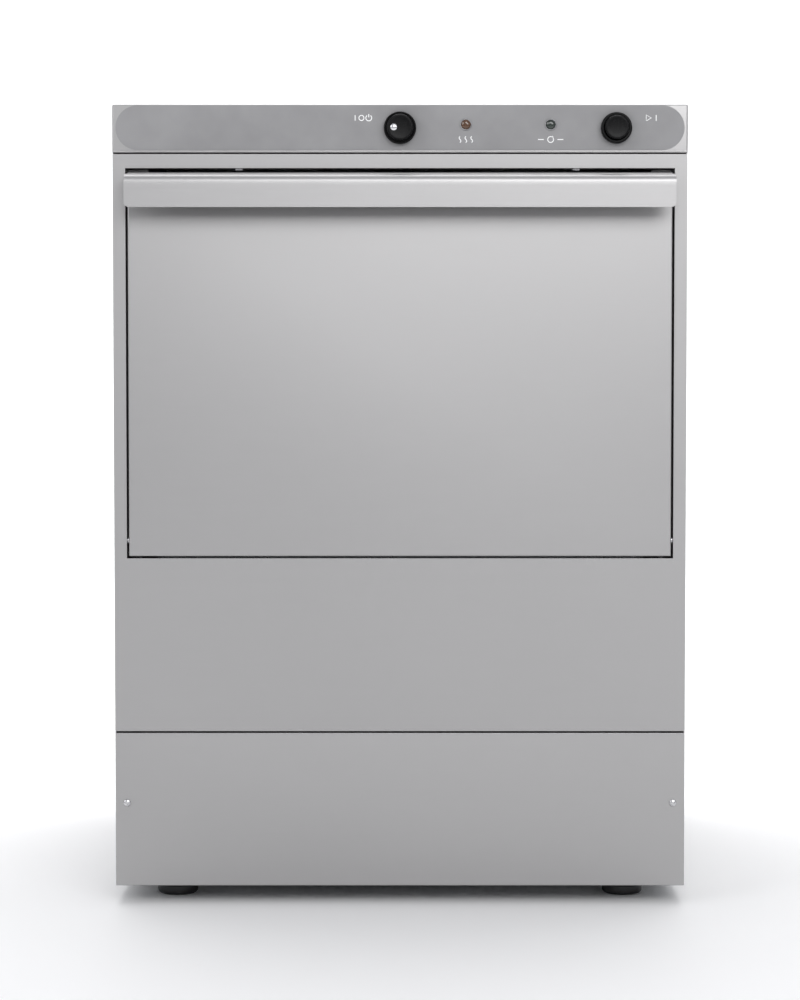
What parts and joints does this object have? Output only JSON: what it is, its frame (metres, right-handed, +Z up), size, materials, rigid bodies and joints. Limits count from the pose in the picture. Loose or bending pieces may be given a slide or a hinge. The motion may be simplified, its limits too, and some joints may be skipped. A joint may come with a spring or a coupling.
{
  "type": "commercial dishwasher",
  "caption": "Undercounter front-loading dishwasher in brushed stainless steel with a drop-down door, full-width handle and a control strip with knob, lamps and button.",
  "frame": {"origin": "on the floor under the middle of the overall box", "axes": "+Z up, the front with the door and controls faces -Y, +X to the right as seen from the front"},
  "size_m": [0.5906, 0.649, 0.8253],
  "materials": {
    "foot_plastic": "moulded black",
    "galvanised_steel": "galvanised sheet",
    "brushed_casing": "fine brushed stainless steel",
    "brushed_handle": "horizontally brushed stainless steel",
    "overlay_print": "matte grey film",
    "screw_steel": "plain steel",
    "chamber_steel": "smooth stainless steel",
    "arm_steel": "polished stainless steel",
    "hub_plastic": "dark moulded plastic",
    "seal_rubber": "black rubber",
    "hose_rubber": "black rubber hose",
    "pipe_plastic": "grey moulded plastic",
    "heater_steel": "sheathed heating element",
    "boiler_steel": "welded stainless steel",
    "lever_steel": "zinc-plated steel",
    "spring_steel": "spring steel",
    "switch_plastic": "black moulded plastic",
    "knob_plastic": "glossy black",
    "marker_chrome": "polished chrome",
    "amber_lens": "amber facetted lens",
    "green_lens": "dark green facetted lens",
    "pump_plastic": "glass-filled plastic",
    "motor_paint": "painted motor casing",
    "valve_brass": "machined brass"
  },
  "bodies": {
    "cabinet": {"amber_lamp": "amber_lens", "arm_nuts": "hub_plastic", "arm_spindles": "hub_plastic", "back_panel": "brushed_casing", "base_tray": "galvanised_steel", "boiler": "boiler_steel", "boiler_cradles": "galvanised_steel", "boiler_element": "heater_steel", "cable_gland": "switch_plastic", "chamber_roof_and_back": "chamber_steel", "chamber_sides": "chamber_steel", "door_catch_plates": "screw_steel", "door_seal": "seal_rubber", "door_springs": "spring_steel", "door_switch": "switch_plastic", "drain_outlet": "pipe_plastic", "electrical_panel": "galvanised_steel", "fascia_overlay": "overlay_print", "feed_pipes": "pipe_plastic", "filter_plates": "chamber_steel", "front_frame": "brushed_casing", "green_lamp": "green_lens", "hinge_brackets": "galvanised_steel", "inlet_valve": "valve_brass", "kick_panel": "brushed_casing", "lamp_bezels": "marker_chrome", "panel_screws": "screw_steel", "power_switch": "switch_plastic", "pressure_switch": "switch_plastic", "pump_motor": "motor_paint", "pump_volute": "pump_plastic", "rack_runners": "chamber_steel", "rinse_hoses": "hose_rubber", "side_panels": "brushed_casing", "start_bezel": "knob_plastic", "start_switch": "switch_plastic", "sump_filter": "chamber_steel", "tank_heater": "heater_steel", "tank_hoses": "hose_rubber", "top_cover": "brushed_casing", "wash_tank": "chamber_steel"},
    "door": {"door_outer_panel": "brushed_casing", "door_inner_panel": "chamber_steel", "door_handle": "brushed_handle", "handle_screws": "screw_steel", "door_levers": "lever_steel", "door_magnet": "switch_plastic"},
    "knob": {"power_knob": "knob_plastic", "power_knob_marker": "marker_chrome"},
    "button": {"start_button": "knob_plastic"},
    "lower_wash": {"lower_wash_arm": "arm_steel"},
    "upper_wash": {"upper_wash_arm": "arm_steel"},
    "lower_rinse": {"lower_rinse_arm": "arm_steel"},
    "upper_rinse": {"upper_rinse_arm": "arm_steel"},
    "impeller": {"pump_impeller": "pump_plastic"},
    "overflow": {"standpipe": "pipe_plastic"},
    "front_left_foot": {"foot_front_left": "foot_plastic"},
    "front_right_foot": {"foot_front_right": "foot_plastic"},
    "back_left_foot": {"foot_back_left": "foot_plastic"},
    "back_right_foot": {"foot_back_right": "foot_plastic"}
  },
  "joints": [
    {"name": "door_hinge", "type": "hinge", "parent": "cabinet", "child": "door", "pos_m": [0, -0.2795, 0.3769], "axis": [1, 0, 0], "range_deg": [0, 90], "deforming": ["door_springs"]},
    {"name": "power_knob_turn", "type": "hinge", "parent": "cabinet", "child": "knob", "pos_m": [0, -0.2895, 0.8006], "axis": [0, 1, 0], "range_deg": [0, 90]},
    {"name": "start_button_press", "type": "slide", "parent": "cabinet", "child": "button", "axis": [0, 1, 0], "range_m": [0, 0.004], "stiffness_N_per_m": 300, "springref_m": -0.002},
    {"name": "lower_wash_spin", "type": "hinge", "parent": "cabinet", "child": "lower_wash", "pos_m": [0, 0.0045, 0.3629], "axis": [0, 0, 1], "continuous": true},
    {"name": "upper_wash_spin", "type": "hinge", "parent": "cabinet", "child": "upper_wash", "pos_m": [0, 0.0045, 0.3629], "axis": [0, 0, 1], "continuous": true},
    {"name": "lower_rinse_spin", "type": "hinge", "parent": "cabinet", "child": "lower_rinse", "pos_m": [0, 0.0045, 0.3629], "axis": [0, 0, 1], "continuous": true},
    {"name": "upper_rinse_spin", "type": "hinge", "parent": "cabinet", "child": "upper_rinse", "pos_m": [0, 0.0045, 0.3629], "axis": [0, 0, 1], "continuous": true},
    {"name": "impeller_spin", "type": "hinge", "parent": "cabinet", "child": "impeller", "pos_m": [0.06, 0, 0.095], "axis": [0, 1, 0], "continuous": true},
    {"name": "standpipe_lift", "type": "slide", "parent": "cabinet", "child": "overflow", "axis": [0, 0, 1], "range_m": [0, 0.1]},
    {"name": "front_left_foot_adjust", "type": "slide", "parent": "cabinet", "child": "front_left_foot", "axis": [0, 0, -1], "range_m": [0, 0.02]},
    {"name": "front_right_foot_adjust", "type": "slide", "parent": "cabinet", "child": "front_right_foot", "axis": [0, 0, -1], "range_m": [0, 0.02]},
    {"name": "back_left_foot_adjust", "type": "slide", "parent": "cabinet", "child": "back_left_foot", "axis": [0, 0, -1], "range_m": [0, 0.02]},
    {"name": "back_right_foot_adjust", "type": "slide", "parent": "cabinet", "child": "back_right_foot", "axis": [0, 0, -1], "range_m": [0, 0.02]}
  ]
}
